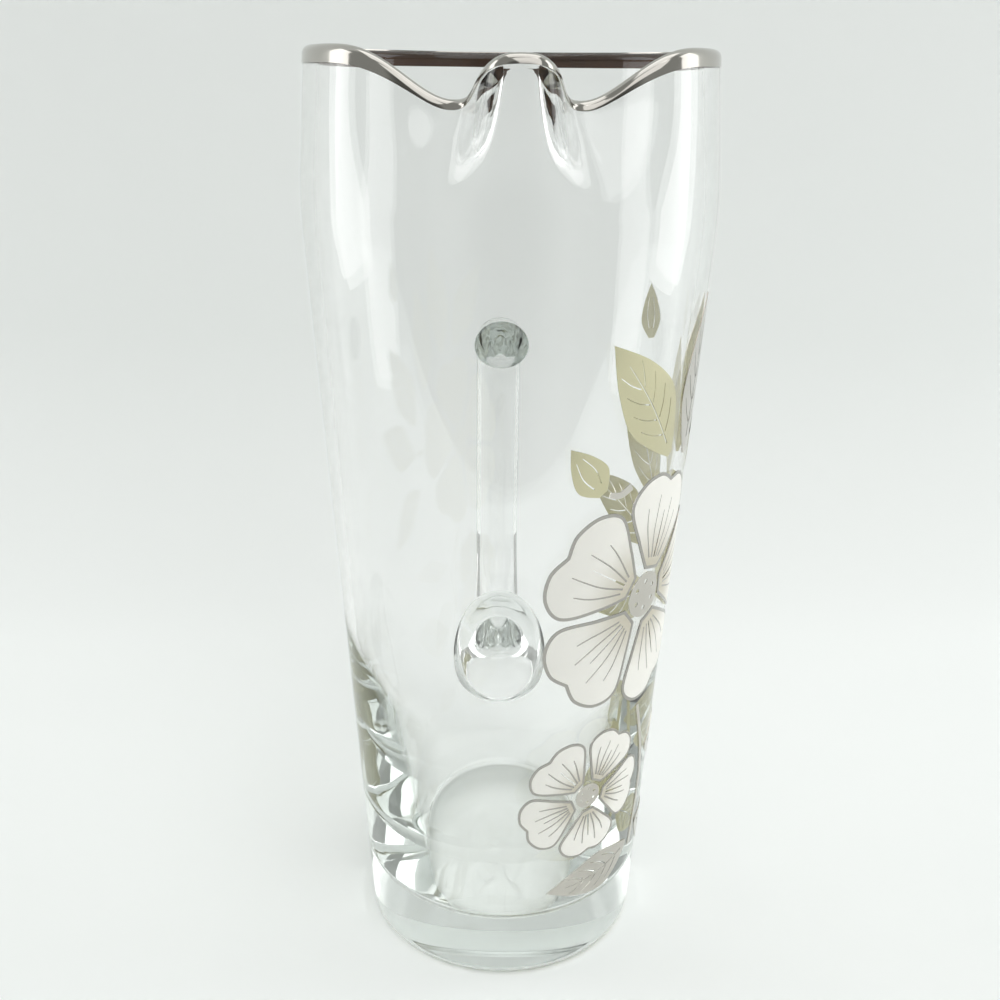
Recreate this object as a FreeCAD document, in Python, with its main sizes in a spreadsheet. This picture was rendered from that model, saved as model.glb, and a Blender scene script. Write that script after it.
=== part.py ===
import FreeCAD, Part
import math
import os

import Sketcher
from FreeCAD import Vector

# Tall blown-glass pitcher: pinched pouring lip towards -Y, loop handle towards +Y,
# silver overlay spray on the +X half. Origin in the middle of the foot, +Z up.

# Driving dimensions: millimetres, but degrees where the name says angle
SIZES = {
    # Vessel: a straight taper from the foot to the belly, then a short neck up to the rim
    "base_radius": 41.4,
    "belly_radius": 54.0,
    "belly_height": 219.0,
    "belly_blend": 9.0,
    "neck_height": 36.0,
    "rim_radius": 51.3,
    "heel_round": 2.8,
    # Glass thickness: thin wall, thickening below the turn into the heavy base
    "rim_wall": 3.6,
    "waist_wall": 2.8,
    "turn_height": 93.0,
    "turn_round": 120.0,
    "floor_thickness": 14.5,
    "floor_radius": 28.5,
    "floor_round": 3.0,
    # Collar: the upper part that is worked by hand, with the lip pulled out between two pinches
    "collar_drop": 16.0,
    "lip_reach": 6.7,
    "lip_drop": 2.0,
    "lip_angle": 10.0,
    "pinch_depth": 9.0,
    "pinch_angle": 20.0,
    "pinch_drift_angle": 6.0,
    "pinch_inner_angle": 10.5,
    "pinch_outer_angle": 16.0,
    "pinch_fall_share": 0.62,
    "rim_dip": 11.5,
    # Handle: one gather of glass, drawn from a wide foot up to a small crown
    "crown_share": 0.772,
    "foot_share": 0.285,
    "finger_room": 30.0,
    "rod_width": 16.0,
    "rod_depth": 12.5,
    "crown_width": 18.0,
    "crown_height": 15.0,
    "foot_width": 34.0,
    "foot_height": 46.0,
    "crown_flare": 7.0,
    "foot_flare": 10.0,
    "crown_bend": 26.0,
    "foot_bend": 30.0,
    # Silver: a thin skin, just clear of the glass that carries it
    "silver_gauge": 0.25,
    "seat_clearance": 0.02,
    "band_height": 2.0,
    "engraved_gap": 0.8,
    "vein_width": 0.6,
    "stem_width": 2.2,
    # Spray: bare glass below it and above it on the taper, and its turn from +X
    "spray_foot_margin": 25.0,
    "spray_head_margin": 5.0,
    "spray_angle": -42.0,
}

SPREADSHEET = "Sizes"
RING_POINTS = 144
RING_QUARTERS = 4
SECTION_POINTS = 24
# Places closer than this share of the belly height count as one
TOLERANCE_SHARE = 0.0005
# Part of a ring's step over which its direction is taken
DIRECTION_STEP_SHARE = 0.25

# Heights of the collar's rings, from its foot to the rim's shoulder
RISE_SHARES = (0, 0.07, 0.14, 0.21, 0.28, 0.35, 0.43, 0.52, 0.61, 0.7, 0.78, 0.85, 0.91, 0.96, 1)
# Angles of the rings over the rounded rim, from the outer to the inner shoulder
BEAD_ANGLES = (0, 30, 60, 90, 120, 150, 180)

# Sections of the handle in a length as long as the rod is deep
HANDLE_RINGS_PER_DEPTH = 2

# Heights of the rings down the silver band, and how far its blank reaches into the wall
BAND_SHARES = (1, 0.66, 0.33, 0)
BAND_CORE_SHARE = 0.5
# Points of half a blossom's round heart
HEART_STEPS = 8

# Half width of a leaf, petal and bud along its length: shares of length and of half its width
LEAF_SHARES = ((0, 0.12), (0.18, 0.62), (0.42, 1), (0.72, 0.66), (1, 0))
PETAL_SHARES = ((0, 0.2), (0.26, 0.58), (0.6, 1), (0.86, 0.84), (0.98, 0.4))
BUD_SHARES = ((0, 0.3), (0.3, 1), (0.66, 0.7), (1, 0))
PETAL_NOTCH_SHARE = 0.93
PETAL_FILL_SHARE = 0.9
# Engraved midrib: where it starts and ends along a leaf or petal
LEAF_VEIN_SHARES = (0.1, 0.82)
PETAL_VEIN_SHARES = (0.12, 0.6)
# Width of the midrib at its start, middle and end
VEIN_TAPER_SHARES = (1, 0.7, 0.3)
# How much narrower a stem is at its thin end
STEM_TAPER_SHARE = 0.6

PETALS = 5

# Shares of the spray's height: how high the large blossom sits, and the sizes of its motifs
BLOSSOM_RISE_SHARE = 0.55
HEART_RADIUS_SHARE = 0.0376
PETAL_LENGTH_SHARE = 0.156
LEAF_LENGTH_SHARE = 0.231
BUD_LENGTH_SHARE = 0.0925
# Widths as shares of the lengths
LEAF_WIDTH_SHARE = 0.45
BUD_WIDTH_SHARE = 0.6

# Places on the spray are shares of the large blossom's reach: across towards the back and up
# from the middle of its heart
# Blossoms: name, place across and up, size share, turn in degrees
BLOSSOM_SHARES = (
    ("blossom", 0, 0, 1.0, 14),
    ("low_blossom", -0.41, -1.72, 0.6, 30),
)
# Leaves: name, place of the stalk end across and up, turn of the leaf from upright towards
# the back in degrees, length share, bow of the midrib as a share of the length
LEAF_TABLE_SHARES = (
    ("upper_front_leaf", 0.13, 1.13, -32, 1.0, -0.1),
    ("top_leaf", 0.46, 1.05, 6, 1.05, 0.1),
    ("low_front_leaf", 0.19, -2.51, -104, 0.78, 0.1),
    ("low_back_leaf", 0.4, -2.43, 118, 0.74, 0.1),
    ("side_leaf", 0.42, -1.65, 98, 0.9, -0.1),
    ("back_low_leaf", 1.2, -0.5, 118, 0.86, 0.1),
    ("back_side_leaf", 1.31, -0.08, 76, 0.96, -0.1),
    ("back_upper_leaf", 1.27, 0.27, 36, 1.05, 0.1),
    ("back_top_leaf", 0.98, 0.66, 2, 1.0, 0.12),
)
# Buds: name, place of the stalk end across and up, turn, length share
BUD_TABLE_SHARES = (
    ("front_bud", -0.56, 0.97, -38, 1.0),
    ("back_bud", 1.81, 1.67, 14, 1.0),
)
# Stems: name, then the places of the thick end, the middle and the thin end
STEM_TABLE_SHARES = (
    ("main_stem", (0.28, -2.6), (0.34, -1.84), (0.1, -1.06)),
    ("back_stalk", (1.05, -0.08), (1.14, -0.05), (1.23, -0.08)),
    ("bud_stalk", (-0.3, 0.98), (-0.4, 0.93), (-0.5, 0.95)),
)


def make_sheet(document):
    """Spreadsheet with one aliased cell for each driving dimension."""
    sheet = document.addObject("Spreadsheet::Sheet", SPREADSHEET)
    for row, (alias, value) in enumerate(SIZES.items(), start=1):
        sheet.set(f"A{row}", alias)
        sheet.set(f"B{row}", str(value))
        sheet.setAlias(f"B{row}", alias)
    document.recompute()
    return sheet


doc = FreeCAD.newDocument("pitcher")
cells = make_sheet(doc)


def size(alias):
    """Value of a driving dimension, read back from the sheet."""
    return float(cells.get(alias))


def bind(item, **formulas):
    """Tie properties of a document object to cells of the sheet."""
    for path, formula in formulas.items():
        item.setExpression(path, formula.replace("$", SPREADSHEET + "."))


def rim_height():
    return size("belly_height") + size("neck_height")


def collar_foot():
    return size("belly_height") - size("collar_drop")


def cone_radius(height):
    """Outer radius of the straight taper, which carries the handle and the silver."""
    flare = size("belly_radius") - size("base_radius")
    return size("base_radius") + flare * height / size("belly_height")


def neck_radius(height):
    """Outer radius of the round collar: two tapers, blended over the belly."""
    low_slope = (size("belly_radius") - size("base_radius")) / size("belly_height")
    high_slope = (size("rim_radius") - size("belly_radius")) / size("neck_height")
    above = height - size("belly_height")
    radius = size("belly_radius") + above * (low_slope if above < 0 else high_slope)
    within = max(0, size("belly_blend") - abs(above))
    return radius + (high_slope - low_slope) * within**2 / (4 * size("belly_blend"))


def wall_at(height):
    """Glass thickness above the turn, growing a little towards the rim."""
    share = (height - size("turn_height")) / (rim_height() - size("turn_height"))
    return size("waist_wall") + (size("rim_wall") - size("waist_wall")) * share


def pinch(angle, centre):
    """Depth share of a pinch: steep with a flat top towards the lip, gentle on the far side."""
    offset = abs(angle) - centre
    if offset < 0:
        return math.exp((offset / size("pinch_inner_angle")) ** 3)
    return math.exp(-((offset / size("pinch_outer_angle")) ** 2))


def collar_point(angle, rise):
    """Point on the collar's outer face: angle from the lip, rise from its foot to the rim."""
    lip = math.exp(-((angle / size("lip_angle")) ** 4))
    dip = size("rim_dip") * pinch(angle, size("pinch_angle")) + size("lip_drop") * lip
    shoulder = rim_height() - size("rim_wall") / 2 - dip
    height = collar_foot() + (shoulder - collar_foot()) * rise
    fall = min(1, (1 - rise) / size("pinch_fall_share"))
    fade = (1 - fall) ** 2 * (1 + 2 * fall)
    dent = pinch(angle, size("pinch_angle") + size("pinch_drift_angle") * fall)
    pull = size("lip_reach") * lip - size("pinch_depth") * dent
    radius = neck_radius(height) + fade * pull
    turn = math.radians(angle)
    return Vector(radius * math.sin(turn), -radius * math.cos(turn), height)


def collar_normal(angle, rise):
    """Level direction that points out of the collar."""
    step = 360 / RING_POINTS * DIRECTION_STEP_SHARE
    along = collar_point(angle + step, rise) - collar_point(angle - step, rise)
    return Vector(along.y, -along.x, 0).normalize()


def ring(point_at):
    """Closed smooth wire of four quarters through point_at(angle), starting at the back."""
    angles = [360 * index / RING_POINTS - 180 for index in range(RING_POINTS)]
    curve = Part.BSplineCurve()
    curve.interpolate(
        Points=[point_at(angle) for angle in angles],
        PeriodicFlag=True,
        Parameters=[index / RING_POINTS for index in range(RING_POINTS + 1)],
    )
    ends = [index / RING_QUARTERS for index in range(RING_QUARTERS + 1)]
    return Part.Wire([curve.toShape(first, last) for first, last in zip(ends, ends[1:])])


def collar_ring(rise, wall_share):
    """Ring at one rise, set in from the outer face by a share of the wall."""

    def point_at(angle):
        point = collar_point(angle, rise)
        return point - collar_normal(angle, rise) * (wall_share * wall_at(point.z))

    return ring(point_at)


def bead_ring(bead_angle, skin=0.0):
    """Ring over the fire-polished rim, lifted by a skin."""
    turn = math.radians(bead_angle)

    def point_at(angle):
        shoulder = collar_point(angle, 1)
        outward = collar_normal(angle, 1)
        half_wall = wall_at(shoulder.z) / 2
        middle = shoulder - outward * half_wall
        reach = half_wall + skin
        return middle + outward * (reach * math.cos(turn)) + Vector(0, 0, reach * math.sin(turn))

    return ring(point_at)


def solid_from(faces):
    """Closed solid sewn from faces that share their edges."""
    shell = Part.makeShell(faces)
    shell.sewShape()
    return Part.makeSolid(shell)


def origin_plane(body, role):
    return next(item for item in body.Origin.OriginFeatures if item.Role == role)


def circle_edges(shape, height, radius):
    """Names of the full circles of a shape at one height and radius."""
    near = TOLERANCE_SHARE * size("belly_height")
    return [
        f"Edge{index}"
        for index, edge in enumerate(shape.Edges, start=1)
        if isinstance(edge.Curve, Part.Circle)
        and abs(edge.Curve.Center.z - height) < near
        and abs(edge.Curve.Radius - radius) < near
    ]


def tangent_arc(before, corner, after, radius):
    """Arc of one radius that rounds a corner, and the two points where it starts and ends."""
    first = (before - corner).normalize()
    second = (after - corner).normalize()
    inward = (first + second).normalize()
    half_angle = first.getAngle(second) / 2
    start = corner + first * (radius / math.tan(half_angle))
    end = corner + second * (radius / math.tan(half_angle))
    crest = corner + inward * (radius / math.sin(half_angle) - radius)
    return Part.Arc(end, crest, start), start, end


def make_tumbler():
    """Turned lower vessel up to the collar: heavy base, tapered wall, open cavity."""
    body = doc.addObject("PartDesign::Body", "tumbler")
    sketch = body.newObject("Sketcher::SketchObject", "tumbler_profile")
    sketch.AttachmentSupport = [(origin_plane(body, "XZ_Plane"), "")]
    sketch.MapMode = "FlatFace"

    foot = collar_foot()
    middle = Vector(0, 0, 0)
    base = Vector(size("base_radius"), 0, 0)
    collar_outer = Vector(cone_radius(foot), foot, 0)
    collar_inner = Vector(cone_radius(foot) - wall_at(foot), foot, 0)
    turn = Vector(cone_radius(size("turn_height")) - size("waist_wall"), size("turn_height"), 0)
    floor = Vector(size("floor_radius"), size("floor_thickness"), 0)
    floor_middle = Vector(0, size("floor_thickness"), 0)
    arc, turn_upper, turn_lower = tangent_arc(collar_inner, turn, floor, size("turn_round"))

    outer_lines = [middle, base, collar_outer, collar_inner, turn_upper]
    inner_lines = [turn_lower, floor, floor_middle, middle]
    for start, end in zip(outer_lines, outer_lines[1:]):
        sketch.addGeometry(Part.LineSegment(start, end))
    sketch.addGeometry(arc)
    for start, end in zip(inner_lines, inner_lines[1:]):
        sketch.addGeometry(Part.LineSegment(start, end))
    turn_corner = sketch.addGeometry(Part.Point(turn), True)

    upper_wall, turn_arc, lower_wall, last = 3, 4, 5, 7
    for index in (0, 1, 2, 5, 6):
        sketch.addConstraint(Sketcher.Constraint("Coincident", index, 2, index + 1, 1))
    sketch.addConstraint(Sketcher.Constraint("Coincident", last, 2, 0, 1))
    sketch.addConstraint(Sketcher.Constraint("Coincident", 0, 1, -1, 1))
    sketch.addConstraint(Sketcher.Constraint("Tangent", upper_wall, 2, turn_arc, 2))
    sketch.addConstraint(Sketcher.Constraint("Tangent", lower_wall, 1, turn_arc, 1))
    for wall in (upper_wall, lower_wall):
        sketch.addConstraint(Sketcher.Constraint("PointOnObject", turn_corner, 1, wall))
    sketch.addConstraint(Sketcher.Constraint("PointOnObject", 1, 1, -1))
    sketch.addConstraint(Sketcher.Constraint("PointOnObject", last, 1, -2))
    index = sketch.addConstraint(Sketcher.Constraint("Radius", turn_arc, size("turn_round")))
    sketch.renameConstraint(index, "turn_round")
    bind(sketch, **{"Constraints.turn_round": "$turn_round"})

    cone = "($base_radius + ($belly_radius - $base_radius) * (%s) / $belly_height)"
    foot_height = "($belly_height - $collar_drop)"
    turn_run = "($belly_height + $neck_height - $turn_height)"
    wall_rise = f"({foot_height} - $turn_height) / {turn_run}"
    foot_wall = f"($waist_wall + ($rim_wall - $waist_wall) * {wall_rise})"
    placed = (
        ("base_across", "DistanceX", 1, base.x, "$base_radius"),
        ("collar_outer_across", "DistanceX", 2, collar_outer.x, cone % foot_height),
        ("collar_outer_up", "DistanceY", 2, foot, foot_height),
        ("collar_inner_across", "DistanceX", 3, collar_inner.x, f"{cone % foot_height} - {foot_wall}"),
        ("collar_inner_up", "DistanceY", 3, foot, foot_height),
        ("turn_across", "DistanceX", turn_corner, turn.x, f"{cone % '$turn_height'} - $waist_wall"),
        ("turn_up", "DistanceY", turn_corner, turn.y, "$turn_height"),
        ("floor_across", "DistanceX", 6, floor.x, "$floor_radius"),
        ("floor_up", "DistanceY", 6, floor.y, "$floor_thickness"),
        ("floor_middle_up", "DistanceY", last, floor.y, "$floor_thickness"),
    )
    for name, axis, geometry, value, formula in placed:
        index = sketch.addConstraint(Sketcher.Constraint(axis, -1, 1, geometry, 1, value))
        sketch.renameConstraint(index, name)
        bind(sketch, **{f"Constraints.{name}": formula})
    doc.recompute()

    turned = body.newObject("PartDesign::Revolution", "tumbler_turned")
    turned.Profile = sketch
    turned.ReferenceAxis = (sketch, ["V_Axis"])
    turned.Angle = 360
    doc.recompute()

    rounds = (
        ("heel", 0, size("base_radius"), "$heel_round"),
        ("floor", size("floor_thickness"), size("floor_radius"), "$floor_round"),
    )
    for name, height, radius, formula in rounds:
        before = body.Tip
        fillet = body.newObject("PartDesign::Fillet", f"{name}_fillet")
        fillet.Base = (before, circle_edges(before.Shape, height, radius))
        bind(fillet, Radius=formula)
        doc.recompute()
    return body


def make_collar_faces():
    """Outer face, rounded rim and inner face of the collar."""
    outer = [collar_ring(rise, 0) for rise in RISE_SHARES]
    bead = [bead_ring(angle) for angle in BEAD_ANGLES]
    inner = [collar_ring(rise, 1) for rise in RISE_SHARES]
    return [face for rings in (outer, bead, inner) for face in Part.makeLoft(rings).Faces]


def make_glass_body(tumbler):
    """One blown piece: the turned vessel closed by the hand-worked collar."""
    foot = collar_foot()
    turned = [
        face for face in tumbler.Shape.Faces
        if abs(face.CenterOfMass.z - foot) > TOLERANCE_SHARE * size("belly_height")
    ]
    item = doc.addObject("Part::Feature", "glass_body")
    item.Shape = solid_from(turned + make_collar_faces())
    return item


def make_taper(name, skin):
    """Solid cone of the tapered wall, thickened by a skin."""
    taper = doc.addObject("Part::Cone", name)
    foot_radius = "$belly_radius - ($belly_radius - $base_radius) * $collar_drop / $belly_height"
    bind(
        taper,
        Radius1=f"$base_radius + {skin}",
        Radius2=f"{foot_radius} + {skin}",
        Height="$belly_height - $collar_drop",
    )
    return taper


def handle_line():
    """Places along the middle of the handle, crown first: out, height and lean from level."""
    crown_height = size("crown_share") * size("belly_height")
    foot_height = size("foot_share") * size("belly_height")
    grip = cone_radius(crown_height) + size("finger_room") + size("rod_depth") / 2
    crown_bend = size("crown_bend")
    foot_bend = size("foot_bend")
    sag = size("foot_width") ** 2 / 8 / cone_radius(foot_height)

    def steps(run):
        count = max(2, round(run / size("rod_depth") * HANDLE_RINGS_PER_DEPTH))
        return [index / count for index in range(count)]

    start = cone_radius(crown_height) - size("rim_wall")
    run = grip - crown_bend - start
    for share in steps(run):
        yield start + run * share, crown_height, 0
    for share in steps(crown_bend * math.pi / 2):
        turn = share * math.pi / 2
        yield (grip - crown_bend * (1 - math.sin(turn)),
               crown_height - crown_bend * (1 - math.cos(turn)), -turn)
    top = crown_height - crown_bend
    run = top - foot_height - foot_bend
    for share in steps(run):
        yield grip, top - run * share, -math.pi / 2
    for share in steps(foot_bend * math.pi / 2):
        turn = share * math.pi / 2
        yield (grip - foot_bend * (1 - math.cos(turn)),
               foot_height + foot_bend * (1 - math.sin(turn)), -math.pi / 2 - turn)
    run = grip - foot_bend - cone_radius(foot_height) + sag + size("waist_wall")
    for share in steps(run) + [1]:
        yield grip - foot_bend - run * share, foot_height, -math.pi


def rod_section(out, height, lean):
    """Oval wire across the handle, swelling towards the wall at its crown and foot."""
    upper = height > (size("crown_share") + size("foot_share")) / 2 * size("belly_height")
    end = "crown" if upper else "foot"
    stand = max(0, out - cone_radius(size(f"{end}_share") * size("belly_height")))
    swell = math.exp(-((stand / size(f"{end}_flare")) ** 2))
    width = size("rod_width") + swell * (size(f"{end}_width") - size("rod_width"))
    depth = size("rod_depth") + swell * (size(f"{end}_height") - size("rod_depth"))
    centre = Vector(0, out, height)
    across = Vector(width / 2, 0, 0)
    through = Vector(0, -math.sin(lean), math.cos(lean)) * (depth / 2)
    curve = Part.BSplineCurve()
    angles = [2 * math.pi * index / SECTION_POINTS for index in range(SECTION_POINTS)]
    curve.interpolate(
        Points=[centre + across * math.cos(at) + through * math.sin(at) for at in angles],
        PeriodicFlag=True,
        Parameters=[index / SECTION_POINTS for index in range(SECTION_POINTS + 1)],
    )
    return Part.Wire([curve.toShape()])


def make_handle(seat):
    """Handle drawn in one gather and seated on the taper at both ends."""
    blank = doc.addObject("Part::Feature", "handle_blank")
    blank.Shape = Part.makeLoft([rod_section(*place) for place in handle_line()], True, False)
    handle = doc.addObject("Part::Cut", "handle")
    handle.Base = blank
    handle.Tool = seat
    return handle


def make_rim_band(glass):
    """Silver band down the outside of the rim and over its crest."""
    gauge = size("silver_gauge")

    def band_ring(height_share, wall_share, skin):
        def point_at(angle):
            shoulder = collar_point(angle, 1)
            rise = 1 - height_share * size("band_height") / (shoulder.z - collar_foot())
            point = collar_point(angle, rise)
            inset = wall_share * wall_at(point.z) - skin
            return point - collar_normal(angle, rise) * inset

        return ring(point_at)

    outside = [band_ring(share, 0, gauge) for share in BAND_SHARES]
    over = [bead_ring(angle, gauge) for angle in BEAD_ANGLES if 0 < angle <= 90]
    core = [band_ring(share, BAND_CORE_SHARE, 0) for share in (0, 1)]
    blank = doc.addObject("Part::Feature", "rim_band_blank")
    blank.Shape = Part.makeLoft(outside + over + core, True, True, True)
    band = doc.addObject("Part::Cut", "rim_band")
    band.Base = blank
    band.Tool = glass
    return band


def spray_height():
    return collar_foot() - size("spray_foot_margin") - size("spray_head_margin")


def blossom_reach():
    """Length from the middle of the large blossom to the tips of its petals."""
    return (HEART_RADIUS_SHARE + PETAL_LENGTH_SHARE) * spray_height() + size("engraved_gap")


def spot(place, turn, across, along):
    """Azimuth and height of a point across and along a motif that leans by turn."""
    lean = math.radians(turn)
    side = place[0] * blossom_reach() + along * math.sin(lean) + across * math.cos(lean)
    up = place[1] * blossom_reach() + along * math.cos(lean) - across * math.sin(lean)
    height = size("spray_foot_margin") + BLOSSOM_RISE_SHARE * spray_height() + up
    return size("spray_angle") + math.degrees(side / cone_radius(height)), height


def blade(place, turn, start, length, width, shares, bow=0.0):
    """Two edges of a blade-shaped motif, from its stalk end to its tip."""
    sides = []
    for hand in (-1, 1):
        sides.append([
            spot(place, turn, bow * length * along**2 + hand * width / 2 * half, start + length * along)
            for along, half in shares
        ])
    return sides


def vein(place, turn, start, length, shares, bow=0.0):
    """Outline of the engraved midrib: bare glass that tapers from the stalk to the tip."""
    begin, end = shares
    taper = zip((begin, (begin + end) / 2, end), VEIN_TAPER_SHARES)
    left, right = blade(place, turn, start, length, size("vein_width"), list(taper), bow)
    return [left, [left[-1], right[-1]], right[::-1], [right[0], left[0]]]


def make_patch(name, outlines, shell):
    """Patch of silver: outlines on the taper, the first round it, the others bare inside it."""
    azimuths = [azimuth for curve in outlines[0] for azimuth, height in curve]
    facing = math.radians((min(azimuths) + max(azimuths)) / 2)
    outward = Vector(math.cos(facing), math.sin(facing), 0)
    sideways = Vector(-math.sin(facing), math.cos(facing), 0)
    inside = size("base_radius") / 2

    def plate_point(azimuth, height):
        side = cone_radius(height) * math.sin(math.radians(azimuth) - facing)
        return outward * inside + sideways * side + Vector(0, 0, height)

    wires = []
    for outline in outlines:
        edges = []
        for curve in outline:
            points = [plate_point(*place) for place in curve]
            if len(points) == 2:
                edges.append(Part.LineSegment(*points).toShape())
            else:
                spline = Part.BSplineCurve()
                spline.interpolate(Points=points)
                edges.append(spline.toShape())
        wires.append(Part.Wire(edges))
    face = Part.makeFace(wires, "Part::FaceMakerBullseye")
    blank = doc.addObject("Part::Feature", f"{name}_blank")
    blank.Shape = face.extrude(outward * size("belly_radius"))
    patch = doc.addObject("Part::Common", name)
    patch.Base = blank
    patch.Tool = shell
    return patch


def make_leaf(shell, name, across, up, turn, length_share, bow_share):
    """Pointed leaf with its midrib engraved."""
    place = (across, up)
    length = LEAF_LENGTH_SHARE * spray_height() * length_share
    width = LEAF_WIDTH_SHARE * length
    left, right = blade(place, turn, 0, length, width, LEAF_SHARES, bow_share)
    outline = [left, right[::-1], [right[0], left[0]]]
    midrib = vein(place, turn, 0, length, LEAF_VEIN_SHARES, bow_share)
    return make_patch(name, [outline, midrib], shell)


def make_bud(shell, name, across, up, turn, length_share):
    """Closed bud with its seam engraved."""
    place = (across, up)
    length = BUD_LENGTH_SHARE * spray_height() * length_share
    width = BUD_WIDTH_SHARE * length
    left, right = blade(place, turn, 0, length, width, BUD_SHARES)
    outline = [left, right[::-1], [right[0], left[0]]]
    seam = vein(place, turn, 0, length, LEAF_VEIN_SHARES)
    return make_patch(name, [outline, seam], shell)


def make_stem(shell, name, *places):
    """Stem through three places, narrower at its thin end."""
    run = places[-1][0] - places[0][0]
    rise = places[-1][1] - places[0][1]
    slope = math.degrees(math.atan2(run, rise))
    widths = [1, (1 + STEM_TAPER_SHARE) / 2, STEM_TAPER_SHARE]
    left, right = (
        [
            spot(place, slope, hand * size("stem_width") / 2 * width, 0)
            for place, width in zip(places, widths)
        ]
        for hand in (-1, 1)
    )
    outline = [left, [left[-1], right[-1]], right[::-1], [right[0], left[0]]]
    return make_patch(name, [outline], shell)


def make_blossom(shell, name, across, up, size_share, turn):
    """Open blossom: a round heart and a ring of notched petals parted by bare glass."""
    place = (across, up)
    heart = HEART_RADIUS_SHARE * spray_height() * size_share
    halves = []
    for first in (0, 180):
        steps = [first + 180 * index / HEART_STEPS for index in range(HEART_STEPS + 1)]
        halves.append([spot(place, angle, 0, heart) for angle in steps])
    patches = [make_patch(f"{name}_heart", [halves], shell)]

    start = heart + size("engraved_gap")
    length = PETAL_LENGTH_SHARE * spray_height() * size_share
    widest = max(PETAL_SHARES, key=lambda share: share[1])[0]
    room = math.tan(math.pi / PETALS) * (start + widest * length)
    for index in range(PETALS):
        lean = turn + 360 * index / PETALS
        left, right = blade(place, lean, start, length, 2 * PETAL_FILL_SHARE * room, PETAL_SHARES)
        notch = spot(place, lean, 0, start + PETAL_NOTCH_SHARE * length)
        outline = [left + [notch] + right[::-1], [right[0], left[0]]]
        midrib = vein(place, lean, start, length, PETAL_VEIN_SHARES)
        patches.append(make_patch(f"{name}_petal_{index + 1}", [outline, midrib], shell))
    return patches


def check(items):
    """Stop before anything is written if an object failed or a sub-part is not one solid."""
    for item in doc.Objects:
        if "Invalid" in item.State or "Error" in item.State:
            raise RuntimeError(f"{item.Label} failed: {item.State}")
    for item in items:
        shape = item.Shape
        if shape.isNull() or not shape.isValid() or len(shape.Solids) != 1:
            raise RuntimeError(f"{item.Label} is not one valid solid")


def main():
    glass = make_glass_body(make_tumbler())
    seat = make_taper("seat_taper", "$seat_clearance")
    shell = doc.addObject("Part::Cut", "silver_shell")
    shell.Base = make_taper("silver_taper", "$seat_clearance + $silver_gauge")
    shell.Tool = seat

    items = [glass, make_handle(seat), make_rim_band(glass)]
    for row in BLOSSOM_SHARES:
        items += make_blossom(shell, *row)
    items += [make_leaf(shell, *row) for row in LEAF_TABLE_SHARES]
    items += [make_bud(shell, *row) for row in BUD_TABLE_SHARES]
    items += [make_stem(shell, *row) for row in STEM_TABLE_SHARES]
    doc.recompute()
    check(items)

    os.makedirs("parts", exist_ok=True)
    for item in items:
        item.Shape.exportStep(f"parts/{item.Label}.step")
        print(f"{item.Label}: {item.Shape.Volume:.1f} mm3")


main()
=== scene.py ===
import math

import bpy
from mathutils import Matrix, Vector


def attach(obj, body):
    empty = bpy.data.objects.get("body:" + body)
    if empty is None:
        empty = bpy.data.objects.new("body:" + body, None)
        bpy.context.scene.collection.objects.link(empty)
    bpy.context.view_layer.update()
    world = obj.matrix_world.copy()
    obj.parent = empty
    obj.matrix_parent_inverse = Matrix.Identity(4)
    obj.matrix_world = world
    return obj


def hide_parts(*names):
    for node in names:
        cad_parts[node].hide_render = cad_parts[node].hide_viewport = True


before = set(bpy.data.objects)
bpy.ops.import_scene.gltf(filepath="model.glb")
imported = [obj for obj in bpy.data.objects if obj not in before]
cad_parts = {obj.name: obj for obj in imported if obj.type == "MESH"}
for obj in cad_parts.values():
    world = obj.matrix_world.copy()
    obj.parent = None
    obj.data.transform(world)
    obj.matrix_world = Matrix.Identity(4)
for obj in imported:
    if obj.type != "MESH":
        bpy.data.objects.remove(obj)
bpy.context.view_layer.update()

# Tall blown-glass pitcher on a pale sweep: lip towards -Y, handle towards +Y, silver spray on +X
MM = 0.001

# Vessel: a straight taper from the foot to the belly, then a short neck up to the rim
BASE_RADIUS = 41.4 * MM
BELLY_RADIUS = 54.0 * MM
BELLY_HEIGHT = 219.0 * MM
BELLY_BLEND = 9.0 * MM
NECK_HEIGHT = 36.0 * MM
RIM_RADIUS = 51.3 * MM
HEEL_ROUND = 2.8 * MM
RIM_WALL = 3.6 * MM
WAIST_WALL = 2.8 * MM
TURN_HEIGHT = 93.0 * MM
TURN_ROUND = 120.0 * MM
FLOOR_THICKNESS = 14.5 * MM
FLOOR_RADIUS = 28.5 * MM
FLOOR_ROUND = 3.0 * MM

# Collar with the lip pulled out between two pinches; angles in degrees from the lip
COLLAR_DROP = 16.0 * MM
LIP_REACH = 6.7 * MM
LIP_DROP = 2.0 * MM
LIP_ANGLE = 10.0
PINCH_DEPTH = 9.0 * MM
PINCH_ANGLE = 20.0
PINCH_DRIFT_ANGLE = 6.0
PINCH_INNER_ANGLE = 10.5
PINCH_OUTER_ANGLE = 16.0
PINCH_FALL_SHARE = 0.62
RIM_DIP = 11.5 * MM

# Handle
CROWN_SHARE = 0.772
FOOT_SHARE = 0.285
FINGER_ROOM = 30.0 * MM
ROD_WIDTH = 16.0 * MM
ROD_DEPTH = 12.5 * MM
CROWN_WIDTH = 18.0 * MM
CROWN_HEIGHT = 15.0 * MM
FOOT_WIDTH = 34.0 * MM
FOOT_HEIGHT = 46.0 * MM
CROWN_FLARE = 7.0 * MM
FOOT_FLARE = 10.0 * MM
CROWN_BEND = 26.0 * MM
FOOT_BEND = 30.0 * MM

# Silver: it stands proud of the glass by its gauge and is bonded a little way into it
SILVER_GAUGE = 0.25 * MM
SILVER_BOND = 0.03 * MM
BAND_HEIGHT = 2.0 * MM
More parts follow.
